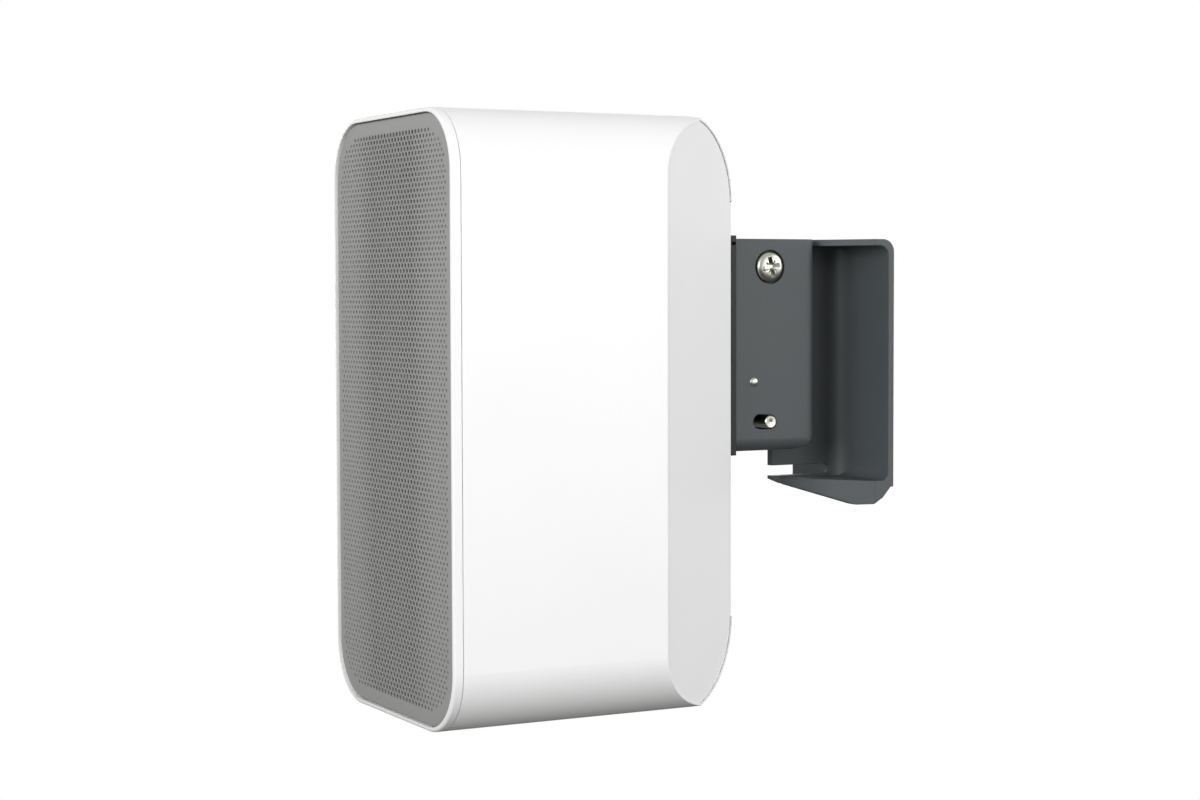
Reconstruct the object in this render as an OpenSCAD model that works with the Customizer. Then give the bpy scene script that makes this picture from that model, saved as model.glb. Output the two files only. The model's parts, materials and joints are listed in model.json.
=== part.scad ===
// Upright loudspeaker on a tilting wall bracket.
// Origin on the wall face, level with the middle of the loudspeaker. +Y points into the wall.

/* [Cabinet] */
// Width of the cabinet
body_w = 134; // [120:1:160]
// Height of the cabinet
body_h = 268; // [255:1:300]
// Depth of the cabinet from grille to back
body_d = 160; // [150:1:180]
// Radius of the four corners seen from the front
corner_r = 28; // [20:1:34]
// Radius of the top and bottom rear edges seen from the side
rear_r = 38; // [30:1:42]
// Depth of the straight side before the slanted rear faces
side_d = 103; // [95:1:108]
// Width of the flat strip at the back
strip_w = 54; // [52:1:60]
// Wall of the sleeve
sleeve_t = 2; // [1.6:0.1:2]
// Rim of the sleeve that shows round the rear cover
rim_t = 1; // [0.8:0.1:1.4]
// Wall of the rear cover
cover_t = 2.8; // [2.4:0.1:3.5]
// How far the rear cover sits below the rim
cover_set = 0.5; // [0.3:0.1:0.8]

/* [Front] */
// Depth of the white front ring
bezel_d = 4.5; // [4:0.1:6]
// Width of the lip round the grille
lip_w = 2; // [1.6:0.1:3]
// Rounding of the ring's front edge
lip_r = 1.4; // [1:0.1:1.5]
// Height of the shadow gap behind the ring
seam_gap = 0.4; // [0.3:0.1:0.6]
// Thickness of the grille's sheet
grille_t = 1.2; // [0.8:0.1:1.4]
// Distance between neighbouring openings of the coarse grille pattern
grille_pitch = 11; // [9:0.1:14]
// Size of one opening across its corners
grille_hole = 7.4; // [5:0.1:8]
// Depth from the front to the baffle
baffle_y = 10; // [9.5:0.1:12]
// Thickness of the baffle
baffle_t = 4; // [3:0.1:5]

/* [Drive units] */
// Outer diameter of the woofer's basket
woofer_d = 102; // [96:1:106]
// Height of the woofer's centre above the cabinet's centre
woofer_z = -48; // [-56:1:-46]
// Depth of the woofer's basket behind the baffle's front
basket_d = 32; // [30:1:36]
// Diameter of the magnet
magnet_d = 72; // [64:1:76]
// Thickness of the magnet
magnet_t = 15; // [12:1:20]
// Diameter of the voice coil
coil_d = 25; // [22:1:28]
// Diameter of the tweeter's faceplate
tweeter_d = 52; // [46:1:56]
// Height of the tweeter's centre above the cabinet's centre
tweeter_z = 52; // [48:1:56]
// Diameter of the tweeter's dome
dome_d = 25; // [19:1:28]
// Bore of the bass port
port_bore = 22; // [16:1:24]
// Distance of the port's centre below the cabinet's top
port_drop = 29; // [26:1:33]
// Length of the bass port
port_l = 70; // [50:1:80]

/* [Bracket] */
// Free distance from the wall to the back of the cabinet
wall_gap = 80.5; // [78:0.5:90]
// Outer width of the tilt arm
arm_w = 50; // [46:1:52]
// Depth of the tilt arm
arm_d = 44.8; // [42:0.1:47]
// Height of the arm's top edge
arm_top = 79.5; // [77:0.5:84]
// Height of the arm's bottom edge
arm_bottom = -20; // [-23:0.5:-18]
// Sheet of the tilt arm
arm_t = 2.5; // [2:0.1:3]
// Thickness of the rubber pad behind the cabinet
pad_t = 1; // [0.8:0.1:2]
// Thickness of the plate on the cabinet
plate_t = 2.5; // [2:0.1:3]
// Height of the tilt axis
pivot_z = 66.4; // [64:0.1:68]
// Distance of the tilt axis behind the cabinet
pivot_back = 22; // [20:0.5:24]
// Diameter of the tilt screw
pivot_d = 6; // [5:0.5:6.5]
// Diameter of the tilt screw's head
head_d = 13.5; // [12:0.5:14]
// Distance of the limit pin below the tilt axis
pin_drop = 72.7; // [68:0.1:74]
// Diameter of the limit pin
pin_d = 6; // [5:0.5:6.5]
// Width of the slot the pin runs in
slot_w = 7; // [6.9:0.1:8]
// Tilt in degrees from rest to the end of the slot
tilt_max = 4.5; // [3:0.5:6]
// Width of the wall flange
flange_w = 84; // [76:1:92]
// Thickness of the wall flange and the gussets
flange_t = 3; // [2.5:0.1:4]
// Height of the wall flange's bottom edge
flange_bottom = -38; // [-42:0.5:-36]
// Thickness of the fin
fin_t = 4; // [3:0.5:5]
// Inside radius where the fin meets the flange
fin_r = 8; // [4:0.5:10]
// Radius of the holes for the wall screws
wall_hole_r = 2.75; // [2:0.05:3.5]
// Distance between the two wall screws
wall_hole_pitch = 80; // [60:1:84]

/* [Hidden] */
$fn = 64;
// Clearance of pieces that drop into one another
fit = 0.15;
// Radial clearance of a pin or shaft in its bore
run = 0.05;
// Overlap that lets a cut pass right through
eps = 1;

front_y = -(wall_gap + body_d);
back_y = -wall_gap;
half_w = body_w / 2;
half_h = body_h / 2;
half_strip = strip_w / 2;

module along_x(x0, x1) translate([x0, 0, 0]) rotate([90, 0, 90]) linear_extrude(x1 - x0) children();
module along_y(y0, y1) translate([0, y1, 0]) rotate([90, 0, 0]) linear_extrude(y1 - y0) children();
module rod_y(d, y0, y1) translate([0, y0, 0]) rotate([-90, 0, 0]) cylinder(d = d, h = y1 - y0);
module cone_y(d0, d1, y0, y1) translate([0, y0, 0]) rotate([-90, 0, 0]) cylinder(d1 = d0, d2 = d1, h = y1 - y0);
module rod_x(d, x0, x1) translate([x0, 0, 0]) rotate([0, 90, 0]) cylinder(d = d, h = x1 - x0);
module at_front() translate([0, front_y, 0]) children();
module mirrored_x() { children(); mirror([1, 0, 0]) children(); }
module mirrored_z() { children(); mirror([0, 0, 1]) children(); }
// A turned piece about the Y axis from a half section of (radius, depth) points
module turned() rotate([-90, 0, 0]) rotate_extrude() children();

module rounded(w, h, r) {
    square([w - 2 * r, h], center = true);
    square([w, h - 2 * r], center = true);
    for (x = [-1, 1], z = [-1, 1]) translate([x * (w / 2 - r), z * (h / 2 - r)]) circle(r);
}
module front_outline(inset) rounded(body_w - 2 * inset, body_h - 2 * inset, corner_r - inset);

// Plan of the cabinet: straight sides, slanted rear faces, flat strip
face_x = half_w - half_strip;
face_y = body_d - side_d;
face_l = sqrt(face_x * face_x + face_y * face_y);
module plan_outline(inset) {
    x0 = half_w - inset;
    y0 = side_d - inset * (face_l - face_y) / face_x;
    x1 = half_strip - inset * (face_l - face_x) / face_y;
    y1 = body_d - inset;
    polygon([[-x0, -eps], [x0, -eps], [x0, y0], [x1, y1], [-x1, y1], [-x0, y0]]);
}
// Side view of the cabinet with its rounded rear edges
module side_outline(inset) {
    translate([-eps, -half_h + inset]) square([body_d - rear_r + eps, body_h - 2 * inset]);
    translate([-eps, -half_h + rear_r]) square([body_d - inset + eps, body_h - 2 * rear_r]);
    for (z = [-1, 1]) translate([body_d - rear_r, z * (half_h - rear_r)]) circle(rear_r - inset);
}
module plan_block(inset) translate([0, 0, -half_h]) linear_extrude(body_h) plan_outline(inset);
module side_block(inset) along_x(-half_w, half_w) side_outline(inset);
module tube_block(inset, y0, y1) along_y(y0, y1) front_outline(inset);
module strip_window(gap) translate([-half_w, body_d - rear_r, -half_h + rear_r + gap])
    cube([body_w, rear_r + eps, body_h - 2 * rear_r - 2 * gap]);

// Section of the front ring: x points outwards from the outline, y into the cabinet
module ring_section() {
    difference() {
        translate([-lip_w, 0]) square([lip_w, bezel_d - seam_gap]);
        difference() {
            translate([-lip_r, -eps]) square(lip_r + eps);
            translate([-lip_r, lip_r]) circle(lip_r);
        }
    }
    translate([-lip_w, lip_r]) square([lip_w / 2, bezel_d - lip_r]);
}

// White moulded ring round the grille, four corners and four straight sides
module front_bezel() color("white") at_front() {
    sx = half_w - corner_r;
    sz = half_h - corner_r;
    mirrored_x() mirrored_z() translate([sx, 0, -sz]) rotate([-90, 0, 0])
        rotate_extrude(angle = 90) translate([corner_r, 0]) ring_section();
    mirrored_x() translate([half_w, 0, -sz]) linear_extrude(2 * sz) ring_section();
    mirrored_z() along_x(-sx, sx) translate([0, half_h]) mirror([1, -1]) ring_section();
}

// Grey perforated pan that drops into the ring
grille_in = lip_w + fit;
grille_y = 0.8;
grille_margin = 7;
grille_rows = floor((body_h - 2 * grille_in - 2 * grille_margin) / (grille_pitch * sqrt(3) / 2));
module grille() color([0.53, 0.53, 0.52]) at_front() difference() {
    tube_block(grille_in, grille_y, baffle_y);
    tube_block(grille_in + grille_t, grille_y + grille_t, baffle_y + eps);
    for (row = [0 : grille_rows]) grille_row(row);
}
// One row of openings, every second row shifted by half a pitch
module grille_row(row) {
    z = (row - grille_rows / 2) * grille_pitch * sqrt(3) / 2;
    over = max(0, abs(z) - (half_h - corner_r));
    cut = corner_r - sqrt(max(0, corner_r * corner_r - over * over));
    half = half_w - grille_in - grille_margin - cut;
    shift = row % 2 == 0 ? 0 : grille_pitch / 2;
    count = floor((half - shift) / grille_pitch);
    first = row % 2 == 0 ? -count : -count - 1;
    for (i = [first : count]) translate([i * grille_pitch + shift, 0, z]) rotate([-90, 0, 0])
        cylinder(d = grille_hole, h = grille_y + grille_t + eps, $fn = 6);
}

// Where the screws of the baffle and the rear cover stand
baffle_holes = [for (x = [-1, 1], z = [-half_h + 19, 8, half_h - 19]) [x * (half_w - 11), z]];
boss_d = 8;
pilot_d = 2.5;
ledge_y = baffle_y + baffle_t + 1;
ledge_t = 3;
rear_hole_x = half_strip - 8;
rear_hole_z = half_h - rear_r - 7;

// White moulded sleeve with a ledge and screw bosses inside
module cabinet_sleeve() color("white") at_front() difference() {
    union() {
        difference() {
            intersection() {
                tube_block(0, bezel_d, body_d);
                plan_block(0);
                side_block(0);
            }
            intersection() {
                tube_block(sleeve_t, 0, body_d + eps);
                side_block(sleeve_t);
            }
            difference() {
                intersection() {
                    tube_block(rim_t, 0, body_d + eps);
                    side_block(rim_t);
                }
                plan_block(cover_set + cover_t);
            }
            strip_window(0);
        }
        sleeve_ledge();
        mirrored_x() mirrored_z() rear_post();
    }
    for (p = baffle_holes) translate([p[0], 0, p[1]]) rod_y(pilot_d, ledge_y - eps, ledge_y + 11);
    mirrored_x() mirrored_z() translate([rear_hole_x, 0, rear_hole_z])
        rod_y(pilot_d, body_d - 18, body_d);
}
module sleeve_ledge() difference() {
    union() {
        difference() {
            tube_block(sleeve_t - eps / 2, ledge_y, ledge_y + ledge_t);
            tube_block(sleeve_t + 3.4, ledge_y - eps, ledge_y + ledge_t + eps);
        }
        intersection() {
            tube_block(sleeve_t - eps / 2, ledge_y, ledge_y + 12);
            for (p = baffle_holes) translate([p[0], 0, p[1]]) {
                rod_y(boss_d, ledge_y, ledge_y + 12);
                translate([p[0] > 0 ? 0 : -boss_d, ledge_y, -1.5]) cube([boss_d, 12, 3]);
            }
        }
    }
}
// Post for a rear screw, carried by a rib from the sleeve's top or bottom wall
module rear_post() {
    post_y = body_d - cover_set - cover_t;
    intersection() {
        union() {
            translate([rear_hole_x, 0, rear_hole_z]) rod_y(boss_d, post_y - 20, post_y);
            translate([rear_hole_x - 1.5, post_y - 20, rear_hole_z]) cube([3, 20, half_h - rear_hole_z]);
        }
        side_block(sleeve_t - eps / 2);
        plan_block(cover_set + cover_t);
    }
}

// Inserts for the bracket, sockets and board posts
insert_d = 8;
insert_l = 10;
insert_bore = 4.2;
insert_x = 13;
insert_z = [52, -4];
board_post_x = 29;
board_y = body_d - 48;
board_t = 1.6;
post_d = 7;
amp_post_z = [18, 84];
power_post_z = [-22, -90];
io_y = body_d - 18;
io_post_x = 17.5;
inlet_z = 13 - rear_hole_z;
socket_z = inlet_z + 22;
button_z = inlet_z + 12;
io_post_z = [socket_z + 16, inlet_z - 4];
io_w = 42;
inlet_w = 22;
inlet_h = 12;
lan_w = 16;
lan_h = 13.6;
lan_x = -10;
audio_d = 9;
audio_x = 9;
button_d = 6;
button_x = 19.5;
button_travel = 0.8;

module rear_shell() difference() {
    intersection() {
        tube_block(rim_t + fit, side_d - 20, body_d + eps);
        plan_block(cover_set);
        union() {
            side_block(rim_t + fit);
            intersection() {
                side_block(0);
                strip_window(fit);
            }
        }
    }
    plan_block(cover_set + cover_t);
}
module post_group(x, zs, y0) intersection() {
    mirrored_x() for (z = zs) translate([x, 0, z]) rod_y(post_d, y0, body_d);
    plan_block(cover_set + eps);
}
module screw_drills(x, zs, d, y0, l) mirrored_x() for (z = zs) translate([x, 0, z]) rod_y(d, y0 - eps, y0 + l);
// Light grey moulded back
module rear_cover() color([0.9, 0.9, 0.9]) at_front() difference() {
    union() {
        rear_shell();
        post_group(board_post_x, concat(amp_post_z, power_post_z), board_y + board_t);
        post_group(io_post_x, io_post_z, io_y + board_t);
        mirrored_x() for (z = insert_z) translate([insert_x, 0, z])
            rod_y(insert_d + 5, body_d - insert_l - 4, body_d - cover_set - eps);
    }
    mirrored_x() for (z = insert_z) translate([insert_x, 0, z])
        rod_y(insert_d + 2 * run, body_d - cover_set - insert_l, body_d + eps);
    screw_drills(board_post_x, concat(amp_post_z, power_post_z), pilot_d, board_y + board_t, 9);
    screw_drills(io_post_x, io_post_z, pilot_d, io_y + board_t, 9);
    mirrored_x() mirrored_z() translate([rear_hole_x, 0, rear_hole_z]) {
        rod_y(3.4, body_d - 8, body_d + eps);
        rod_y(6.6, body_d - cover_set - 1.6, body_d + eps);
    }
    translate([-inlet_w / 2 - fit, body_d - 9, inlet_z - inlet_h / 2 - fit])
        cube([inlet_w + 2 * fit, 10, inlet_h + 2 * fit]);
    translate([lan_x - lan_w / 2 - fit, body_d - 9, socket_z - lan_h / 2 - fit])
        cube([lan_w + 2 * fit, 10, lan_h + 2 * fit]);
    translate([audio_x, 0, socket_z]) rod_y(audio_d + 2 * fit, body_d - 9, body_d + eps);
    translate([button_x, 0, button_z]) rod_y(button_d + 0.6, body_d - 9, body_d + eps);
}

// Black moulded panel that carries the drive units
woofer_cut = woofer_d - 20;
tweeter_cut = tweeter_d - 14;
port_d = port_bore + 4;
port_z = half_h - port_drop;
module baffle_cuts(y0, y1) {
    translate([0, 0, woofer_z]) rod_y(woofer_cut, y0, y1);
    translate([0, 0, tweeter_z]) rod_y(tweeter_cut, y0, y1);
    translate([0, 0, port_z]) rod_y(port_d + 2 * fit, y0, y1);
}
woofer_screw_r = woofer_d / 2 - 4.2;
tweeter_screw_r = tweeter_d / 2 - 3.6;
module ring_of(r, count, turn) for (i = [0 : count - 1]) rotate([0, turn + i * 360 / count, 0])
    translate([r, 0, 0]) children();
module front_baffle() color([0.08, 0.08, 0.08]) at_front() difference() {
    tube_block(sleeve_t + fit, baffle_y, baffle_y + baffle_t);
    baffle_cuts(baffle_y - eps, baffle_y + baffle_t + eps);
    for (p = baffle_holes) translate([p[0], 0, p[1]]) rod_y(3.4, baffle_y - eps, baffle_y + baffle_t + eps);
    translate([0, 0, woofer_z]) ring_of(woofer_screw_r, 4, 45) rod_y(pilot_d, baffle_y - eps, baffle_y + 3);
    translate([0, 0, tweeter_z]) ring_of(tweeter_screw_r, 4, 45) rod_y(2, baffle_y - eps, baffle_y + 3);
}
// Foam ring between baffle and ledge
module baffle_gasket() color([0.15, 0.15, 0.15]) at_front() difference() {
    tube_block(sleeve_t + fit, baffle_y + baffle_t, ledge_y);
    tube_block(sleeve_t + 3, baffle_y, ledge_y + eps);
}
module screw_y(d, head, l) {
    rod_y(d, -0.01, l);
    rod_y(head, -2, 0);
}
module baffle_screws() color("silver") at_front()
    for (p = baffle_holes) translate([p[0], baffle_y, p[1]]) screw_y(2.4, 5, baffle_t + 9);

// Woofer, from the front flange to the yoke
flange_y = baffle_y - 2.5;
throat_y = baffle_y + basket_d;
plate_d = 4;
module at_woofer() at_front() translate([0, 0, woofer_z]) children();
module woofer_basket() color([0.2, 0.2, 0.21]) at_woofer() difference() {
    union() {
        rod_y(woofer_d, flange_y, baffle_y);
        cone_y(woofer_cut - 2 * fit, magnet_d - 14, baffle_y, throat_y);
    }
    cone_y(woofer_cut - 4, magnet_d - 18, flange_y - 0.01, throat_y - 2);
    rod_y(coil_d + 8, flange_y, throat_y + eps);
    for (turn = [0, 60, 120]) rotate([0, turn, 0]) translate([-woofer_d / 2, baffle_y + 7, -9])
        cube([woofer_d, basket_d - 12, 18]);
    ring_of(woofer_screw_r, 4, 45) rod_y(3, flange_y - eps, baffle_y + eps);
}
module woofer_screws() color("silver") at_woofer() translate([0, flange_y, 0])
    ring_of(woofer_screw_r, 4, 45) screw_y(2.4, 5, 5);
// Half roll of rubber between basket and cone
roll_r = 4;
roll_mid = woofer_cut / 2 - 4 - roll_r;
module woofer_surround() color([0.05, 0.05, 0.05]) at_woofer() turned() {
    translate([roll_mid, flange_y]) difference() {
        circle(roll_r);
        circle(roll_r - 0.8);
        translate([-2 * roll_r, 0]) square(4 * roll_r);
    }
    translate([roll_mid + roll_r - 0.8, flange_y - 0.8]) square([5, 0.8]);
    translate([roll_mid - roll_r - 2.8, flange_y - 0.8]) square([3.6, 0.8]);
}
cone_r = roll_mid - roll_r - 0.4;
neck_r = coil_d / 2 + 0.9;
neck_y = flange_y + 16;
module woofer_cone() color([0.1, 0.1, 0.11]) at_woofer() turned()
    polygon([[cone_r, flange_y], [neck_r, neck_y], [neck_r, neck_y + 1.4], [cone_r, flange_y + 1.4]]);
module woofer_dust_cap() color([0.06, 0.06, 0.06]) at_woofer() intersection() {
    translate([0, neck_y + 4.9, 0]) difference() {
        sphere(d = coil_d + 12);
        sphere(d = coil_d + 10.4);
    }
    rod_y(coil_d + 8, 0, neck_y - 3.6);
}
module woofer_voice_coil() color([0.7, 0.45, 0.2]) at_woofer() difference() {
    rod_y(coil_d + 1.6, neck_y - 3, throat_y + plate_d + 2);
    rod_y(coil_d, neck_y - 4, throat_y + plate_d + 3);
}
spider_y = throat_y - 6;
// Bore of the basket's inner cone at a depth
function basket_bore(y) = woofer_cut - 4 - (woofer_cut - magnet_d + 14) * (y - flange_y) / (throat_y - 2 - flange_y);
module woofer_spider() color([0.75, 0.6, 0.35]) at_woofer() difference() {
    rod_y(basket_bore(spider_y + 1) - 2 * fit, spider_y, spider_y + 1);
    rod_y(coil_d + 1.6 + 2 * run, spider_y - eps, spider_y + 2);
}
module woofer_top_plate() color([0.6, 0.6, 0.62]) at_woofer() difference() {
    rod_y(magnet_d - 12, throat_y, throat_y + plate_d);
    rod_y(coil_d + 3, throat_y - eps, throat_y + plate_d + eps);
}
module woofer_magnet() color([0.12, 0.12, 0.13]) at_woofer() difference() {
    rod_y(magnet_d, throat_y + plate_d, throat_y + plate_d + magnet_t);
    rod_y(coil_d + 12, throat_y, throat_y + plate_d + magnet_t + eps);
}
module woofer_yoke() color([0.6, 0.6, 0.62]) at_woofer() union() {
    rod_y(magnet_d - 8, throat_y + plate_d + magnet_t, throat_y + plate_d + magnet_t + 5);
    rod_y(coil_d - 1, throat_y + 0.5, throat_y + plate_d + magnet_t + eps);
}

// Tweeter
module at_tweeter() at_front() translate([0, 0, tweeter_z]) children();
module tweeter_faceplate() color([0.1, 0.1, 0.1]) at_tweeter() difference() {
    rod_y(tweeter_d, flange_y, baffle_y);
    cone_y(dome_d + 10, dome_d + 1, flange_y - 0.01, baffle_y + 0.01);
    ring_of(tweeter_screw_r, 4, 45) rod_y(2.6, flange_y - eps, baffle_y + eps);
}
module tweeter_dome() color([0.15, 0.15, 0.16]) at_tweeter() intersection() {
    translate([0, baffle_y + 12.3, 0]) difference() {
        sphere(d = dome_d + 9);
        sphere(d = dome_d + 7.6);
    }
    rod_y(dome_d, 0, baffle_y + 0.9);
}
module tweeter_magnet() color([0.55, 0.55, 0.57]) at_tweeter() difference() {
    rod_y(tweeter_cut - 2 * fit, baffle_y, baffle_y + 20);
    rod_y(dome_d + 1, baffle_y - eps, baffle_y + 1);
    rod_y(dome_d - 3, baffle_y - eps, baffle_y + 12);
}
module tweeter_screws() color("silver") at_tweeter() translate([0, flange_y, 0])
    ring_of(tweeter_screw_r, 4, 45) screw_y(1.9, 4.2, 5);

// Port tube with a flange on the baffle
module bass_port() color([0.1, 0.1, 0.1]) at_front() translate([0, 0, port_z]) difference() {
    union() {
        rod_y(port_d + 8, baffle_y - 1.5, baffle_y);
        rod_y(port_d, baffle_y - 1.5, baffle_y + port_l);
    }
    rod_y(port_bore, baffle_y - 3, baffle_y + port_l + eps);
}

// Boards in the back of the cabinet
module board_plate(w, z0, z1, y, x, zs) difference() {
    translate([-w / 2, y, z0]) cube([w, board_t, z1 - z0]);
    mirrored_x() for (z = zs) translate([x, 0, z]) rod_y(3, y - eps, y + board_t + eps);
}
board_w = 2 * board_post_x + 14;
module amplifier_board() color([0.05, 0.3, 0.15]) at_front()
    board_plate(board_w, amp_post_z[0] - 6, amp_post_z[1] + 6, board_y, board_post_x, amp_post_z);
sink_w = board_w - 24;
sink_d = 20;
sink_h = 40;
sink_t = 2;
module amplifier_heatsink() color([0.3, 0.3, 0.32]) at_front()
    translate([-sink_w / 2, board_y - sink_d, amp_post_z[0] + 12]) {
        translate([0, sink_d - 2 * sink_t, 0]) cube([sink_w, 2 * sink_t, sink_h]);
        for (i = [0 : 6]) translate([i * (sink_w - sink_t) / 6, 0, 0]) cube([sink_t, sink_d - sink_t, sink_h]);
    }
module power_board() color([0.05, 0.3, 0.15]) at_front() union() {
    board_plate(board_w, power_post_z[1] - 6, power_post_z[0] + 6, board_y, board_post_x, power_post_z);
    for (x = [-22, 22]) translate([x, 0, power_post_z[0] - 16]) rod_y(16, board_y - 22, board_y);
}
module power_transformer() color([0.75, 0.65, 0.2]) at_front()
    translate([-15, board_y - 22, power_post_z[1] + 2]) cube([30, 22, 26]);
module io_board() color([0.05, 0.3, 0.15]) at_front() union() {
    board_plate(io_w, io_post_z[1] - 4, io_post_z[0] + 4, io_y, io_post_x, io_post_z);
    translate([button_x, 0, button_z]) rod_y(4, io_y + board_t, body_d - 5 - button_travel - run);
}
socket_y = io_y + board_t;
// Recessed inlet with two contact pins
module mains_inlet() color([0.06, 0.06, 0.06]) at_front() translate([0, 0, inlet_z]) union() {
    difference() {
        translate([-inlet_w / 2, socket_y, -inlet_h / 2]) cube([inlet_w, body_d - cover_set - socket_y, inlet_h]);
        along_y(body_d - 11, body_d + eps) rounded(16.5, 8.5, 4.2);
    }
    for (x = [-4, 4]) translate([x, 0, 0]) rod_y(2.4, body_d - 12, body_d - 3);
}
module lan_socket() color([0.7, 0.7, 0.72]) at_front() translate([lan_x, 0, socket_z]) difference() {
    translate([-lan_w / 2, socket_y, -lan_h / 2]) cube([lan_w, body_d - cover_set - socket_y, lan_h]);
    translate([-5.9, body_d - 12, -4.2]) cube([11.8, 13, 8.4]);
}
module audio_socket() color([0.1, 0.1, 0.1]) at_front() translate([audio_x, 0, socket_z]) difference() {
    rod_y(audio_d, socket_y, body_d - cover_set);
    rod_y(3.6, body_d - 14, body_d);
}
// Round key that clicks inwards
module setup_button() color("white") at_front() translate([button_x, 0, button_z]) union() {
    rod_y(button_d, body_d - 5, body_d - cover_set);
    rod_y(button_d + 2.4, body_d - 5, body_d - cover_set - cover_t - 0.3);
}
module board_screws() color("silver") at_front() {
    mirrored_x() for (z = concat(amp_post_z, power_post_z)) translate([board_post_x, board_y, z])
        screw_y(2.4, 5, board_t + 7);
    mirrored_x() for (z = io_post_z) translate([io_post_x, io_y, z]) screw_y(2.4, 4.6, board_t + 7);
}
module rear_screws() color("silver") at_front() mirrored_x() mirrored_z()
    translate([rear_hole_x, body_d - cover_set - 1.6, rear_hole_z]) {
        rod_y(6, 0, 1.5);
        rod_y(2.4, -14, 0.01);
    }
module thread_inserts() color([0.8, 0.65, 0.3]) at_front() mirrored_x() for (z = insert_z)
    translate([insert_x, 0, z]) difference() {
        rod_y(insert_d, body_d - cover_set - insert_l, body_d - cover_set);
        rod_y(insert_bore, body_d - cover_set - insert_l + 1, body_d + eps);
    }

// Bracket: places measured from the wall
pad_y = back_y - cover_set;
plate_y = back_y + pad_t;
arm_y = plate_y + plate_t;
arm_end = arm_y + arm_d;
pivot_y = back_y + pivot_back;
pin_z = pivot_z - pin_drop;
half_arm = arm_w / 2;
dimple_d = 16;
dimple_t = 2;
tab_z = 12.6;
rivet_y = arm_y + 9.7;
rivet_d = 3.2;
module insert_holes(d, y0, y1) mirrored_x() for (z = insert_z) translate([insert_x, 0, z]) rod_y(d, y0, y1);

module mounting_pad() color([0.03, 0.03, 0.03]) difference() {
    translate([-half_arm, pad_y, arm_bottom]) cube([arm_w, pad_t + cover_set, arm_top - arm_bottom]);
    insert_holes(5.4, pad_y - eps, plate_y + eps);
}
// Plate with two tabs bent back inside the cheeks
tab_x = half_arm - arm_t - fit;
module speaker_plate() color([0.08, 0.08, 0.08]) difference() {
    union() {
        translate([-half_arm, plate_y, arm_bottom - 1.5]) cube([arm_w, plate_t, arm_top - arm_bottom + 3]);
        mirrored_x() translate([tab_x - 2, plate_y, tab_z - 8]) cube([2, plate_t + 14, 16]);
    }
    insert_holes(5.4, plate_y - eps, arm_y + eps);
    mirrored_x() translate([half_arm - 2.5, plate_y - eps, arm_top - 3]) cube([4, plate_t + 2 * eps, 1.5]);
    mirrored_x() translate([0, rivet_y, tab_z]) rod_x(rivet_d + 2 * run, half_arm / 2, half_arm);
}
module bracket_screws() color([0.5, 0.5, 0.52]) mirrored_x() for (z = insert_z)
    translate([insert_x, arm_y + arm_t, z]) {
        rod_y(9, 0, 2.6);
        rod_y(insert_bore - 2 * run, -arm_t - plate_t - pad_t - 7, 0.01);
    }

// Channel with turned-in edges; the pin's slot is an arc about the tilt axis
edge_r = 6;
foot_r = 13;
module arm_plan(inset) {
    w = half_arm - inset;
    translate([-w, arm_y - eps]) square([2 * w, arm_d - edge_r + eps]);
    translate([-w + edge_r - inset, arm_y - eps]) square([2 * (w - edge_r + inset), arm_d - inset + eps]);
    for (x = [-1, 1]) translate([x * (half_arm - edge_r), arm_end - edge_r]) circle(edge_r - inset);
}
module arm_side(inset) {
    translate([arm_y - eps, arm_bottom + inset]) square([arm_d - foot_r + eps, arm_top - arm_bottom - 2 * inset]);
    translate([arm_y - eps, arm_bottom + foot_r])
        square([arm_d - inset + eps, arm_top - arm_bottom - foot_r - inset]);
    translate([arm_end - foot_r, arm_bottom + foot_r]) circle(foot_r - inset);
}
module arm_front(inset) {
    w = half_arm - inset;
    translate([-w, arm_bottom + edge_r]) square([2 * w, arm_top - arm_bottom - edge_r - inset]);
    translate([-w + edge_r - inset, arm_bottom + inset]) square([2 * (w - edge_r + inset), edge_r]);
    for (x = [-1, 1]) translate([x * (half_arm - edge_r), arm_bottom + edge_r]) circle(edge_r - inset);
}
module arm_block(inset) intersection() {
    translate([0, 0, arm_bottom]) linear_extrude(arm_top - arm_bottom) arm_plan(inset);
    along_x(-half_arm, half_arm) arm_side(inset);
    along_y(arm_y - 2 * eps, arm_end) arm_front(inset);
}
module tilt_slot(x0, x1) {
    for (a = [0, -tilt_max]) translate([0, pivot_y, pivot_z]) rotate([a, 0, 0])
        translate([0, 0, -pin_drop]) rod_x(slot_w, x0, x1);
    translate([0, pivot_y, pivot_z]) intersection() {
        difference() {
            rod_x(2 * pin_drop + slot_w, x0, x1);
            rod_x(2 * pin_drop - slot_w, x0 - eps, x1 + eps);
        }
        translate([x0, -pin_drop, -2 * pin_drop]) cube([x1 - x0, pin_drop, 2 * pin_drop]);
        rotate([-tilt_max, 0, 0]) translate([x0, 0, -2 * pin_drop]) cube([x1 - x0, pin_drop, 2 * pin_drop]);
    }
}
lip_gap = 16;
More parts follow.
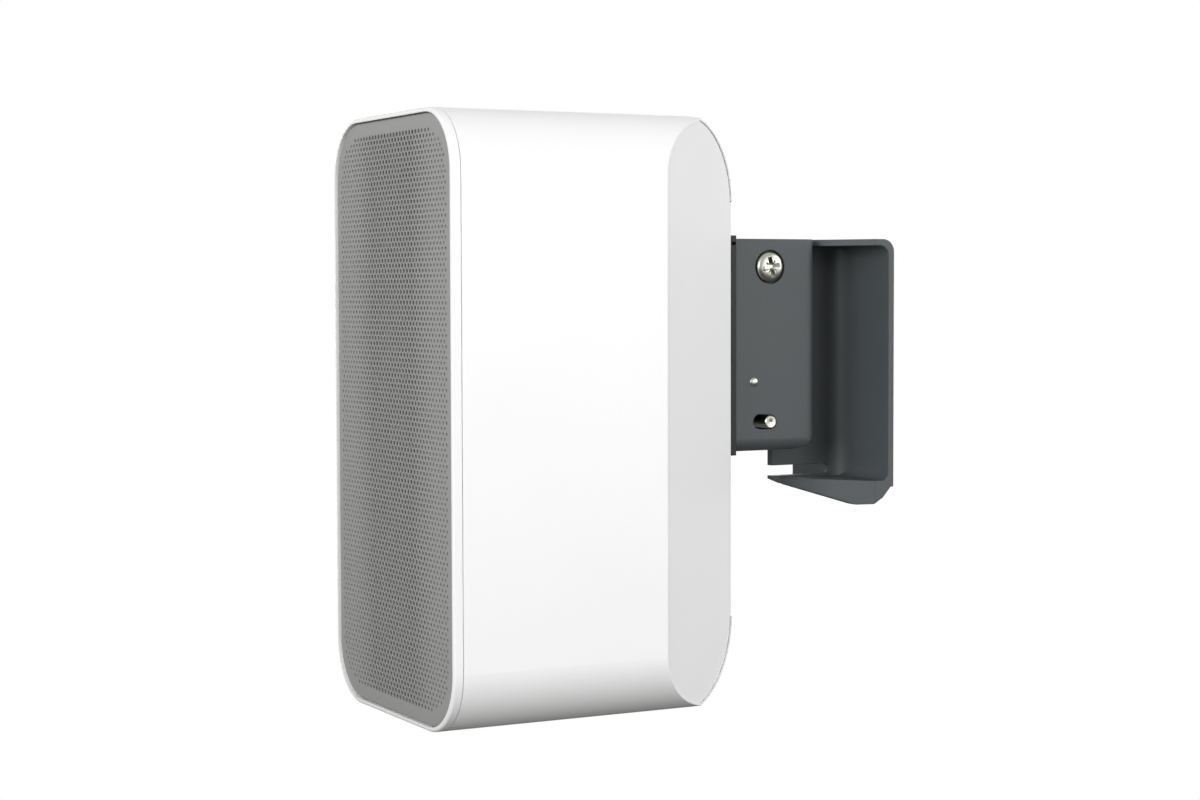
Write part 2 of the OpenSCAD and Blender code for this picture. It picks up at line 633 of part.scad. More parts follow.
module tilt_arm() color([0.3, 0.32, 0.33]) difference() {
    union() {
        difference() {
            intersection() {
                arm_block(0);
                translate([-half_arm, arm_y, arm_bottom]) cube([arm_w, arm_d, arm_top - arm_bottom]);
            }
            difference() {
                arm_block(arm_t);
                translate([-half_arm, arm_y - 2 * eps, arm_bottom]) cube([arm_w, arm_t + 2 * eps, arm_w * 3]);
            }
            translate([-lip_gap, arm_y + arm_t, arm_bottom - eps])
                cube([2 * lip_gap, arm_d, arm_top - arm_bottom + 2 * eps]);
        }
        mirrored_x() translate([0, pivot_y, pivot_z])
            rod_x(dimple_d + 2 * arm_t, half_arm - arm_t - dimple_t, half_arm - arm_t + 0.01);
    }
    mirrored_x() translate([0, pivot_y, pivot_z]) {
        rod_x(dimple_d, half_arm - dimple_t, half_arm + eps);
        rod_x(pivot_d + 2 * run, half_arm / 2, half_arm + eps);
    }
    mirrored_x() tilt_slot(half_arm - arm_t - eps, half_arm + eps);
    mirrored_x() translate([0, rivet_y, tab_z]) rod_x(rivet_d + 2 * run, half_arm / 2, half_arm + eps);
    insert_holes(5.4, arm_y - eps, arm_y + arm_t + eps);
    mirrored_x() translate([tab_x - 2 - fit, arm_y - eps, tab_z - 8 - fit])
        cube([2 + 2 * fit, arm_t + 2 * eps, 16 + 2 * fit]);
}
module arm_rivets() color("silver") mirrored_x() translate([0, rivet_y, tab_z]) union() {
    rod_x(rivet_d, tab_x - 2, half_arm + 0.01);
    rod_x(rivet_d + 1, half_arm, half_arm + 0.8);
    rod_x(rivet_d + 1, tab_x - 2.8, tab_x - 2);
}

// Tilt axis: screw, bushes, washer and nut
head_t = 3.6;
floor_x = half_arm - dimple_t;
bush_d = 14;
module at_pivot() translate([0, pivot_y, pivot_z]) children();
module pivot_screw() color("silver") at_pivot() difference() {
    union() {
        rod_x(pivot_d, -half_arm - 6, floor_x + 0.01);
        rod_x(head_d, floor_x, floor_x + head_t - 1);
        translate([floor_x + head_t - 1, 0, 0]) rotate([0, 90, 0])
            cylinder(d1 = head_d, d2 = head_d - 4, h = 1);
    }
    for (a = [0, 90]) rotate([a, 0, 0]) translate([floor_x + head_t - 2, -3.2, -0.6]) cube([3, 6.4, 1.2]);
}
module pivot_bushes() color([0.9, 0.9, 0.85]) at_pivot() mirrored_x() difference() {
    rod_x(bush_d, fin_t / 2, half_arm - arm_t - dimple_t);
    rod_x(pivot_d + 2 * run, 0, half_arm);
}
module pivot_washer() color("silver") at_pivot() difference() {
    rod_x(12, -floor_x - 1.2, -floor_x);
    rod_x(pivot_d + 2 * run, -half_arm - eps, 0);
}
module pivot_nut() color("silver") at_pivot() difference() {
    rotate([30, 0, 0]) translate([-floor_x - 6.2, 0, 0]) rotate([0, 90, 0]) cylinder(d = 11.5, h = 5, $fn = 6);
    rod_x(pivot_d + 2 * run, -half_arm - 10, 0);
}
// Pin pressed into the fin, free in both slots
module limit_pin() color("silver") translate([0, pivot_y, pin_z])
    rod_x(pin_d, -half_arm - 1, half_arm + 1);

// Wall flange with a fin and, on the right, a gusset above and below
top_z = arm_top;
fin_nose = pivot_y - 9.5;
foot_y = pivot_y + 15.5;
gusset_y = foot_y + 3;
notch_h = 5;
notch_z = flange_bottom + 4;
// How far the fin's toe stands behind its nose, so the tilted arm's web clears it
toe_back = 4;
outer_r = 6;
// The lower gusset's lip: thin at the tip, deepest near the flange
tip_z = notch_z - 1.5;
lip_y = -16;
lip_z = flange_bottom - 8.6;
module fin_outline() difference() {
    union() {
        polygon([[fin_nose, top_z], [fin_nose, pin_z + pin_drop / 2], [fin_nose + toe_back, pin_z - 9],
            [-eps, pin_z - 9], [-eps, top_z]]);
        translate([foot_y, flange_bottom]) square([-foot_y - eps, top_z - flange_bottom]);
    }
    translate([foot_y - eps, notch_z + notch_h / 2]) notch_shape();
    translate([fin_nose - eps, top_z - 8]) square([pivot_back / 2, 9]);
}
module notch_shape() {
    square_l = -foot_y - flange_t - fin_r;
    translate([0, -notch_h / 2]) square([square_l, notch_h]);
    translate([square_l, 0]) circle(d = notch_h);
}
module fillet_corner(r) difference() {
    square(r);
    translate([r, r]) circle(r);
}
module gusset_plan() polygon([[0, -flange_t / 2], [0, gusset_y], [flange_w / 2, -flange_t - 7.5],
    [flange_w / 2, -flange_t / 2]]);
// Turned-down edge under the lower gusset, deepest next to the flange
module gusset_lip() intersection() {
    translate([0, 0, flange_bottom - 12]) linear_extrude(16) difference() {
        gusset_plan();
        translate([-1.6, 3.4]) gusset_plan();
    }
    along_x(0, flange_w / 2) polygon([[foot_y, flange_bottom + 3], [foot_y, tip_z],
        [lip_y, lip_z], [lip_y + 5, lip_z + 0.6], [-6, flange_bottom - 5],
        [-flange_t / 2, flange_bottom], [-flange_t / 2, flange_bottom + 3]]);
}
// What is cut away below the thin tip of the lower gusset
module tip_cut() along_x(-fin_t, flange_w) polygon([[foot_y - eps, tip_z - 20], [foot_y - eps, tip_z],
    [foot_y, tip_z], [lip_y, lip_z], [lip_y, lip_z - 20]]);
module wall_bracket() color([0.3, 0.32, 0.33]) difference() {
    union() {
        translate([-flange_w / 2, -flange_t, flange_bottom]) cube([flange_w, flange_t, top_z - flange_bottom]);
        along_x(-fin_t / 2, fin_t / 2) fin_outline();
        translate([fin_t / 2, -flange_t, flange_bottom]) mirror([0, 1, 0])
            linear_extrude(top_z - flange_bottom) fillet_corner(fin_r);
        translate([0, 0, top_z - flange_t]) linear_extrude(flange_t) gusset_plan();
        translate([0, 0, flange_bottom]) linear_extrude(flange_t) gusset_plan();
        along_x(0, flange_w / 2) translate([-flange_t, top_z - flange_t]) mirror([1, 0]) mirror([0, 1])
            fillet_corner(outer_r - 1);
        along_x(0, flange_w / 2) translate([-flange_t, flange_bottom + flange_t]) mirror([1, 0])
            fillet_corner(outer_r - 2);
        gusset_lip();
    }
    along_x(-flange_w, flange_w) translate([eps, top_z + eps]) mirror([1, 0]) mirror([0, 1])
        difference() {
            square(outer_r + eps);
            translate([outer_r + eps, outer_r + eps]) circle(outer_r);
        }
    tip_cut();
    translate([0, pivot_y, pivot_z]) rod_x(pivot_d + 2 * run, -fin_t, fin_t);
    translate([0, pivot_y, pin_z]) rod_x(pin_d + 2 * run, -fin_t, fin_t);
    for (z = [-1, 1]) translate([-flange_w / 4 - 1, 0, (top_z + flange_bottom) / 2 + z * wall_hole_pitch / 2])
        rod_y(2 * wall_hole_r, -flange_t - eps, eps);
}

front_bezel();
grille();
cabinet_sleeve();
rear_cover();
front_baffle();
baffle_gasket();
baffle_screws();
woofer_basket();
woofer_surround();
woofer_cone();
woofer_dust_cap();
woofer_spider();
woofer_voice_coil();
woofer_top_plate();
woofer_magnet();
woofer_yoke();
woofer_screws();
tweeter_faceplate();
tweeter_dome();
tweeter_magnet();
tweeter_screws();
bass_port();
io_board();
amplifier_board();
amplifier_heatsink();
power_board();
power_transformer();
mains_inlet();
lan_socket();
audio_socket();
setup_button();
board_screws();
thread_inserts();
rear_screws();
bracket_screws();
mounting_pad();
speaker_plate();
arm_rivets();
tilt_arm();
pivot_screw();
pivot_bushes();
pivot_washer();
pivot_nut();
limit_pin();
wall_bracket();
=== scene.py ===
"""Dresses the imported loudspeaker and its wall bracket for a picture."""
import json
import math

import bmesh
import bpy
from mathutils import Matrix, Vector
from mathutils.geometry import delaunay_2d_cdt


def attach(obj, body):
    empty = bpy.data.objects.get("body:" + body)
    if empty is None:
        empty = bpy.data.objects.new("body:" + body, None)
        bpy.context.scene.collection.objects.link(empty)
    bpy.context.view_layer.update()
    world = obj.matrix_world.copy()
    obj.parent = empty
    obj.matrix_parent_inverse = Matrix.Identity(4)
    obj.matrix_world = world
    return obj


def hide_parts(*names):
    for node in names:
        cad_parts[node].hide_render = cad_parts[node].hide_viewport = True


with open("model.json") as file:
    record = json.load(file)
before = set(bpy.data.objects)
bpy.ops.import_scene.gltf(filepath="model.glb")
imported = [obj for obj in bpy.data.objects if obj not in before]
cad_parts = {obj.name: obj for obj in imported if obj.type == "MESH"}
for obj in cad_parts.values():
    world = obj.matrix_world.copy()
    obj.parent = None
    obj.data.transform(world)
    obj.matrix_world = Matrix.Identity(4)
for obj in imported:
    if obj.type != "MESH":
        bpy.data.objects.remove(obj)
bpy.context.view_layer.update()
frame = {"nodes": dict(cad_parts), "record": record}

MM = 0.001
# The cabinet in millimetres: its front and back planes, its outline and its corner radius
FRONT_Y = -240.5
BACK_Y = -80.5
CABINET_WIDTH = 134
CABINET_HEIGHT = 268
CABINET_RADIUS = 28
# Sockets of a Mix node that mixes colours: the share, both colours, and the result
SHARE, COLOUR_A, COLOUR_B, MIXED = 0, 6, 7, 2
# Scale at which a wave texture repeats once per unit of length
WAVE_BAND = math.tau / 20


# Nodes and materials

def lin(hex_colour):
    """An sRGB hex colour as the linear colour that a socket takes."""
    parts = [int(hex_colour[i:i + 2], 16) / 255 for i in (1, 3, 5)]
    linear = [c / 12.92 if c <= 0.04045 else ((c + 0.055) / 1.055) ** 2.4 for c in parts]
    return (*linear, 1.0)


def per_mm(size):
    """Texture scale at which one feature is this many millimetres across."""
    return 1 / (size * MM)


def node(tree, kind, inputs=None, **settings):
    """Adds a node with its settings. Each input is a value, or the socket that feeds it."""
    made = tree.nodes.new(kind)
    for key, value in settings.items():
        setattr(made, key, value)
    for key, value in (inputs or {}).items():
        if isinstance(value, bpy.types.NodeSocket):
            tree.links.new(value, made.inputs[key])
        else:
            made.inputs[key].default_value = value
    return made


def begin(name):
    """An empty material, its node tree, and the place on the object in metres."""
    material = bpy.data.materials.new(name)
    material.use_nodes = True
    tree = material.node_tree
    tree.nodes.clear()
    return material, tree, node(tree, "ShaderNodeTexCoord").outputs["Object"]


def close(tree, colour, rough, relief, depth, edge=0.0, **constants):
    """Joins colour, roughness and a relief of so many millimetres on one shader.
    An edge radius, in millimetres, catches light along the folded or moulded edges."""
    bump = node(tree, "ShaderNodeBump", {"Height": relief, "Distance": depth * MM})
    if edge:
        soft = node(tree, "ShaderNodeBevel", {"Radius": edge * MM}, samples=4)
        tree.links.new(soft.outputs["Normal"], bump.inputs["Normal"])
    inputs = {"Base Color": colour, "Roughness": rough, "Normal": bump.outputs["Normal"]}
    inputs.update({key.replace("_", " "): value for key, value in constants.items()})
    shader = node(tree, "ShaderNodeBsdfPrincipled", inputs)
    node(tree, "ShaderNodeOutputMaterial", {"Surface": shader.outputs["BSDF"]})


def moulded_abs(name, dark, pale, grain, rough, depth, edge=0.3):
    """ABS from a spark-eroded steel mould. The grain breaks each highlight into an even satin,
    and a slow drift of tone keeps a large wall from looking like paper."""
    material, tree, place = begin(name)
    erosion = node(tree, "ShaderNodeTexNoise", {"Vector": place, "Scale": per_mm(grain),
                                                "Detail": 3.0})
    drift = node(tree, "ShaderNodeTexNoise", {"Vector": place, "Scale": per_mm(60), "Detail": 1.0})
    tone = node(tree, "ShaderNodeMix", {SHARE: drift.outputs["Fac"], COLOUR_A: lin(dark),
                                        COLOUR_B: lin(pale)}, data_type="RGBA")
    satin = node(tree, "ShaderNodeMapRange", {"Value": erosion.outputs["Fac"],
                                              "To Min": rough - 0.05, "To Max": rough + 0.05})
    close(tree, tone.outputs[MIXED], satin.outputs["Result"], erosion.outputs["Fac"], depth, edge,
          IOR=1.54)
    return material


def powder_coat(name, dark, pale, peel, rough, depth, edge=0.0):
    """Polyester powder baked on sheet steel. It flows into a fine orange peel that makes the
    highlights soft and slightly restless, with specks where single grains stayed coarse."""
    material, tree, place = begin(name)
    skin = node(tree, "ShaderNodeTexNoise", {"Vector": place, "Scale": per_mm(peel), "Detail": 4.0,
                                            "Roughness": 0.6})
    specks = node(tree, "ShaderNodeTexVoronoi", {"Vector": place, "Scale": per_mm(peel * 0.7)})
    speckled = node(tree, "ShaderNodeMapRange", {"Value": specks.outputs["Distance"],
                                                 "From Min": 0.1, "From Max": 0.5})
    tone = node(tree, "ShaderNodeMix", {SHARE: speckled.outputs["Result"], COLOUR_A: lin(pale),
                                        COLOUR_B: lin(dark)}, data_type="RGBA")
    satin = node(tree, "ShaderNodeMapRange", {"Value": skin.outputs["Fac"],
                                              "To Min": rough - 0.08, "To Max": rough + 0.08})
    close(tree, tone.outputs[MIXED], satin.outputs["Result"], skin.outputs["Fac"], depth, edge,
          IOR=1.43)
    return material


def worked_metal(name, dark, pale, mark, rough, depth):
    """Bare or plated metal, turned or drawn. Fine marks left by the tool stretch the highlight,
    and the tone shifts a little where the surface was handled."""
    material, tree, place = begin(name)
    stretched = node(tree, "ShaderNodeMapping", {"Vector": place, "Scale": (6.0, 1.0, 1.0)})
    marks = node(tree, "ShaderNodeTexNoise", {"Vector": stretched.outputs["Vector"],
                                              "Scale": per_mm(mark), "Detail": 3.0})
    bloom = node(tree, "ShaderNodeTexNoise", {"Vector": place, "Scale": per_mm(3), "Detail": 2.0})
    tone = node(tree, "ShaderNodeMix", {SHARE: bloom.outputs["Fac"], COLOUR_A: lin(dark),
                                        COLOUR_B: lin(pale)}, data_type="RGBA")
    satin = node(tree, "ShaderNodeMapRange", {"Value": marks.outputs["Fac"],
                                              "To Min": rough - 0.08, "To Max": rough + 0.1})
    close(tree, tone.outputs[MIXED], satin.outputs["Result"], marks.outputs["Fac"], depth,
          Metallic=1.0)
    return material


def moulded_rubber(name, dark, pale, grain, rough, depth):
    """Rubber from a heated mould. Nearly no gloss, with a faint grey bloom on the high spots."""
    material, tree, place = begin(name)
    skin = node(tree, "ShaderNodeTexNoise", {"Vector": place, "Scale": per_mm(grain),
                                             "Detail": 5.0})
    bloom = node(tree, "ShaderNodeTexNoise", {"Vector": place, "Scale": per_mm(12), "Detail": 2.0})
    tone = node(tree, "ShaderNodeMix", {SHARE: bloom.outputs["Fac"], COLOUR_A: lin(dark),
                                        COLOUR_B: lin(pale)}, data_type="RGBA")
    dull = node(tree, "ShaderNodeMapRange", {"Value": skin.outputs["Fac"], "To Min": rough - 0.06,
                                            "To Max": rough + 0.06})
    close(tree, tone.outputs[MIXED], dull.outputs["Result"], skin.outputs["Fac"], depth, IOR=1.52)
    return material


def closed_cell_foam(name, dark, pale):
    """Polyethylene foam cut from a block. Open cut cells of about 0.8 mm drink the light."""
    material, tree, place = begin(name)
    cells = node(tree, "ShaderNodeTexVoronoi", {"Vector": place, "Scale": per_mm(0.8)})
    tone = node(tree, "ShaderNodeMix", {SHARE: cells.outputs["Distance"], COLOUR_A: lin(dark),
                                        COLOUR_B: lin(pale)}, data_type="RGBA")
    close(tree, tone.outputs[MIXED], 0.9, cells.outputs["Distance"], 0.3, IOR=1.5)
    return material


def woven_cloth(name, dark, pale, thread, rough):
    """Cloth soaked in resin. Two crossed sets of threads give a small check of light and dark."""
    material, tree, place = begin(name)
    sets = [node(tree, "ShaderNodeTexWave", {"Vector": place, "Distortion": 0.4,
                                             "Scale": per_mm(thread) * WAVE_BAND},
                 bands_direction=way) for way in ("X", "Z")]
    weave = node(tree, "ShaderNodeMath", {0: sets[0].outputs["Fac"], 1: sets[1].outputs["Fac"]},
                 operation="MULTIPLY")
    tone = node(tree, "ShaderNodeMix", {SHARE: weave.outputs["Value"], COLOUR_A: lin(dark),
                                        COLOUR_B: lin(pale)}, data_type="RGBA")
    close(tree, tone.outputs[MIXED], rough, weave.outputs["Value"], 0.15, Sheen_Weight=0.2)
    return material


def wound_wire(name, dark, pale, pitch, rough):
    """Enamelled wire or tape in close turns. Each turn carries its own thin line of light."""
    material, tree, place = begin(name)
    turns = node(tree, "ShaderNodeTexWave", {"Vector": place, "Scale": per_mm(pitch) * WAVE_BAND},
                 bands_direction="Y")
    tone = node(tree, "ShaderNodeMix", {SHARE: turns.outputs["Fac"], COLOUR_A: lin(dark),
                                        COLOUR_B: lin(pale)}, data_type="RGBA")
    close(tree, tone.outputs[MIXED], rough, turns.outputs["Fac"], 0.1, Coat_Weight=0.3)
    return material


def pressed_fibre(name, dark, pale):
    """Paper pulp pressed on a screen and coated. Short fibres show as a cloudy, matt felt."""
    material, tree, place = begin(name)
    fibres = node(tree, "ShaderNodeTexNoise", {"Vector": place, "Scale": per_mm(1.2), "Detail": 6.0,
                                              "Distortion": 1.5})
    tone = node(tree, "ShaderNodeMix", {SHARE: fibres.outputs["Fac"], COLOUR_A: lin(dark),
                                        COLOUR_B: lin(pale)}, data_type="RGBA")
    close(tree, tone.outputs[MIXED], 0.75, fibres.outputs["Fac"], 0.12, IOR=1.5)
    return material


def sintered_ferrite(name, dark, pale):
    """Ferrite powder pressed and fired. Dark grey with a dry, slightly metallic glint."""
    material, tree, place = begin(name)
    grains = node(tree, "ShaderNodeTexVoronoi", {"Vector": place, "Scale": per_mm(0.6)})
    tone = node(tree, "ShaderNodeMix", {SHARE: grains.outputs["Distance"], COLOUR_A: lin(dark),
                                        COLOUR_B: lin(pale)}, data_type="RGBA")
    close(tree, tone.outputs[MIXED], 0.55, grains.outputs["Distance"], 0.05, IOR=2.3)
    return material


def solder_mask(name, board, track):
    """Glass-fibre board under green lacquer. The copper tracks beneath show as paler, raised
    lines."""
    material, tree, place = begin(name)
    tracks = node(tree, "ShaderNodeTexBrick", {"Vector": place, "Scale": per_mm(5),
                                               "Mortar Size": 0.06, "Mortar": lin(track),
                                               "Color1": lin(board), "Color2": lin(board)})
    close(tree, tracks.outputs["Color"], 0.3, tracks.outputs["Fac"], 0.04, Coat_Weight=0.4)
    return material


def moulded_nylon(name, dark, pale):
    """Natural nylon. A milky plastic that lets a little light in, so its edges look soft."""
    material, tree, place = begin(name)
    cloud = node(tree, "ShaderNodeTexNoise", {"Vector": place, "Scale": per_mm(4), "Detail": 2.0})
    tone = node(tree, "ShaderNodeMix", {SHARE: cloud.outputs["Fac"], COLOUR_A: lin(dark),
                                        COLOUR_B: lin(pale)}, data_type="RGBA")
    close(tree, tone.outputs[MIXED], 0.45, cloud.outputs["Fac"], 0.02, Subsurface_Weight=0.2,
          Subsurface_Scale=0.001)
    return material


# The finish of each material slot. Lengths are in millimetres.
FINISHES = {
    "white_abs": moulded_abs("moulded white ABS", "#F4F4F4", "#F7F7F7", 0.35, 0.36, 0.008),
    "grey_abs": moulded_abs("moulded light grey ABS", "#EDEDEE", "#F1F1F2", 0.45, 0.5, 0.02),
    "black_abs": moulded_abs("moulded black ABS", "#17181A", "#1E1F21", 0.4, 0.5, 0.02),
    "grille_steel": powder_coat("powder-coated grille steel", "#959593", "#A1A19F", 0.5, 0.5, 0.01),
    "coated_steel": powder_coat("anthracite powder-coated steel", "#464B4D", "#4F5456", 0.6, 0.55,
                                0.02, 0.6),
    "black_steel": powder_coat("black powder-coated steel", "#090A0B", "#0F1011", 0.6, 0.6, 0.02,
                               0.15),
    "cast_frame": powder_coat("painted cast frame", "#2A2B2D", "#343537", 0.9, 0.5, 0.03),
    "black_aluminium": worked_metal("black anodised aluminium", "#26272A", "#303236", 0.4, 0.4,
                                    0.01),
    "zinc_steel": worked_metal("bright zinc-plated steel", "#8C8E89", "#B4B4AA", 0.3, 0.3, 0.012),
    "raw_steel": worked_metal("ground steel", "#9A9C9E", "#B2B3B4", 0.25, 0.34, 0.008),
    "socket_shell": worked_metal("tinned spring steel", "#BFC0BE", "#D2D3D1", 0.6, 0.3, 0.006),
    "brass_insert": worked_metal("turned brass", "#C9A253", "#DDB868", 0.25, 0.3, 0.006),
    "foam": closed_cell_foam("closed-cell foam", "#0E0E0F", "#232325"),
    "rubber_roll": moulded_rubber("butyl rubber roll", "#0B0B0C", "#161617", 0.3, 0.55, 0.01),
    "pad_rubber": moulded_rubber("neoprene pad", "#101112", "#1C1D1E", 0.5, 0.8, 0.03),
    "paper_cone": pressed_fibre("coated paper pulp", "#141416", "#2A2A2C"),
    "spider_cloth": woven_cloth("resin-soaked cotton", "#8E6E36", "#C9A667", 0.9, 0.8),
    "silk_dome": woven_cloth("coated silk", "#151517", "#262629", 0.5, 0.55),
    "copper_coil": wound_wire("enamelled copper wire", "#7A3A16", "#C9743C", 0.35, 0.3),
    "transformer_tape": wound_wire("polyester tape", "#B98F1E", "#DDBB3E", 1.5, 0.35),
    "ferrite": sintered_ferrite("sintered ferrite", "#1B1B1D", "#333336"),
    "circuit_board": solder_mask("solder-masked board", "#0B3D22", "#1D6B3C"),
    "nylon": moulded_nylon("natural nylon", "#D9D8CC", "#E6E5DA"),
}


def dress_cad_nodes():
    """Gives every CAD node the finish of its slot in the record."""
    for row in frame["record"]["subparts"]:
        target = frame["nodes"][row["node"]]
        target.data.materials.clear()
        target.data.materials.append(FINISHES[row["material_slot"]])


# Meshes

def piece(name, bm, slot, body, *replaced, sharp_degrees=30):
    """Puts a finished bmesh in the scene as a piece of the object."""
    made = bpy.data.objects.new(name, mesh_of(bm, name, sharp_degrees))
    bpy.context.collection.objects.link(made)
    made.data.materials.append(FINISHES[slot])
    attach(made, body)
    if replaced:
        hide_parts(*replaced)


def mesh_of(bm, name, sharp_degrees=30):
    """Turns a bmesh into a mesh with smooth faces that keeps its hard edges."""
    bmesh.ops.recalc_face_normals(bm, faces=bm.faces)
    mesh = bpy.data.meshes.new(name)
    bm.to_mesh(mesh)
    bm.free()
    mesh.shade_smooth()
    mesh.set_sharp_from_angle(angle=math.radians(sharp_degrees))
    return mesh


def bridge(bm, low, high):
    """Joins two rings of corners with faces. A ring of one corner is a point on the axis."""
    steps = max(len(low), len(high))
    for i in range(steps):
        j = (i + 1) % steps
        corners = (low[i % len(low)], low[j % len(low)], high[j % len(high)], high[i % len(high)])
        unique = list(dict.fromkeys(corners))
        if len(unique) > 2:
            bm.faces.new(unique)


def turned_ring(bm, radius, height, steps, place):
    """Corners round Z at this height, or the one corner on the axis where the radius is 0."""
    if radius == 0:
        return [bm.verts.new(place @ Vector((0, 0, height)))]
    turns = [math.tau * i / steps for i in range(steps)]
    return [bm.verts.new(place @ Vector((radius * math.cos(a), radius * math.sin(a), height)))
            for a in turns]


def lathe(bm, profile, steps, place, closed=False):
    """Turns (radius, height) points about Z and moves the result to place. A profile that begins
    and ends on the axis is solid, and a closed one is a ring."""
    rings = [turned_ring(bm, radius, height, steps, place) for radius, height in profile]
    for low, high in zip(rings, rings[1:] + (rings[:1] if closed else [])):
        bridge(bm, low, high)


def loft(bm, rings):
    """Joins rings of corners one after the other, with a face over each end."""
    bm.faces.new(rings[0])
    bm.faces.new(rings[-1])
    for low, high in zip(rings, rings[1:]):
        bridge(bm, low, high)


def along_x(x, y, z, way=1):
    """Placing matrix, in metres, that lays a turned piece's Z along X, or against it."""
    turn = Matrix.Rotation(math.radians(90 * way), 4, "Y")
    return Matrix.Translation(Vector((x, y, z)) * MM) @ turn @ Matrix.Scale(MM, 4)


def along_y(x, y, z):
    """Placing matrix, in metres, that lays a turned piece's Z along Y, away from the wall."""
    turn = Matrix.Rotation(math.radians(-90), 4, "X")
    return Matrix.Translation(Vector((x, y, z)) * MM) @ turn @ Matrix.Scale(MM, 4)


def about_z(degrees):
    """Matrix that turns a piece about its own Z."""
    return Matrix.Rotation(math.radians(degrees), 4, "Z")


def rounded_loop(width, height, radius, steps):
    """Points of a rounded rectangle about the origin, in millimetres, anticlockwise."""
    points = []
    for quarter, (sx, sz) in enumerate(((1, 1), (-1, 1), (-1, -1), (1, -1))):
        centre_x, centre_z = sx * (width / 2 - radius), sz * (height / 2 - radius)
        for i in range(steps + 1):
            angle = math.pi / 2 * (quarter + i / steps)
            points.append((centre_x + radius * math.cos(angle),
                           centre_z + radius * math.sin(angle)))
    return points


# The grille, in millimetres

# Its edge inside the cabinet's outline, its face behind the cabinet's front, and its depth
GRILLE_INSET = 2.15
GRILLE_DROP = 0.8
GRILLE_DEPTH = 10.0
# The sheet, the radius of its rolled edge, and the steps of that roll and of a round corner
SHEET = 0.6
PAN_RADIUS = 1.6
PAN_STEPS = 4
CORNER_STEPS = 12
# Hole size in the middle and at the sides, and where it starts and ends to shrink
HOLE_MIDDLE = 2.35
HOLE_SIDE = 1.5
SHRINK_FROM = 22
SHRINK_TO = 48
HOLE_SIDES = 8
# Holes stand in staggered rows, with a plain margin round them
HOLE_STEP_X = 3.45
HOLE_STEP_Z = 2.3
PLAIN_SIDE = 6.0
PLAIN_TOP = 7.0


def pan_loop(inset):
    """The grille's outline, moved inwards from the cabinet's outline."""
    return rounded_loop(CABINET_WIDTH - 2 * inset, CABINET_HEIGHT - 2 * inset,
                        CABINET_RADIUS - inset, CORNER_STEPS)


def hole_centres():
    """Staggered hole centres that stay clear of the plain edge and of the round corners."""
    half_x = CABINET_WIDTH / 2 - GRILLE_INSET - PLAIN_SIDE
    half_z = CABINET_HEIGHT / 2 - GRILLE_INSET - PLAIN_TOP
    corner = CABINET_RADIUS - GRILLE_INSET - PLAIN_SIDE
    rows, columns = int(half_z / HOLE_STEP_Z), int(half_x / HOLE_STEP_X) + 1
    for row in range(-rows, rows + 1):
        z = row * HOLE_STEP_Z
        shift = HOLE_STEP_X / 2 if row % 2 else 0.0
        for column in range(-columns, columns + 1):
            x = column * HOLE_STEP_X + shift
            over_x, over_z = abs(x) - (half_x - corner), abs(z) - (half_z - corner)
            rounded_off = over_x > 0 and over_z > 0 and math.hypot(over_x, over_z) > corner
            if abs(x) <= half_x and not rounded_off:
                yield x, z


def perforated_face():
    """The flat face of the grille: its points, its triangles, and the outline and hole rings."""
    border = pan_loop(GRILLE_INSET + PAN_RADIUS)
    turns = [math.tau * (i + 0.5) / HOLE_SIDES for i in range(HOLE_SIDES)]
    flat, outlines = list(border), [list(range(len(border)))]
    for x, z in hole_centres():
        outlines.append(list(range(len(flat), len(flat) + HOLE_SIDES)))
        share = min(1.0, max(0.0, (abs(x) - SHRINK_FROM) / (SHRINK_TO - SHRINK_FROM)))
        radius = (HOLE_MIDDLE + (HOLE_SIDE - HOLE_MIDDLE) * share) / 2
        flat += [(x + radius * math.cos(a), z + radius * math.sin(a)) for a in turns]
    # The first outline is the border, so a face that only it encloses is metal
    points, _, faces, sources, _, owners = delaunay_2d_cdt(
        [Vector(p) for p in flat], [], outlines, 1, 1e-5)
    kept = [tuple(f) for f, owner in zip(faces, owners) if owner and max(owner) == 0]
    place = {old: new for new, olds in enumerate(sources) for old in olds}
    return points, kept, [[place[v] for v in outline] for outline in outlines]


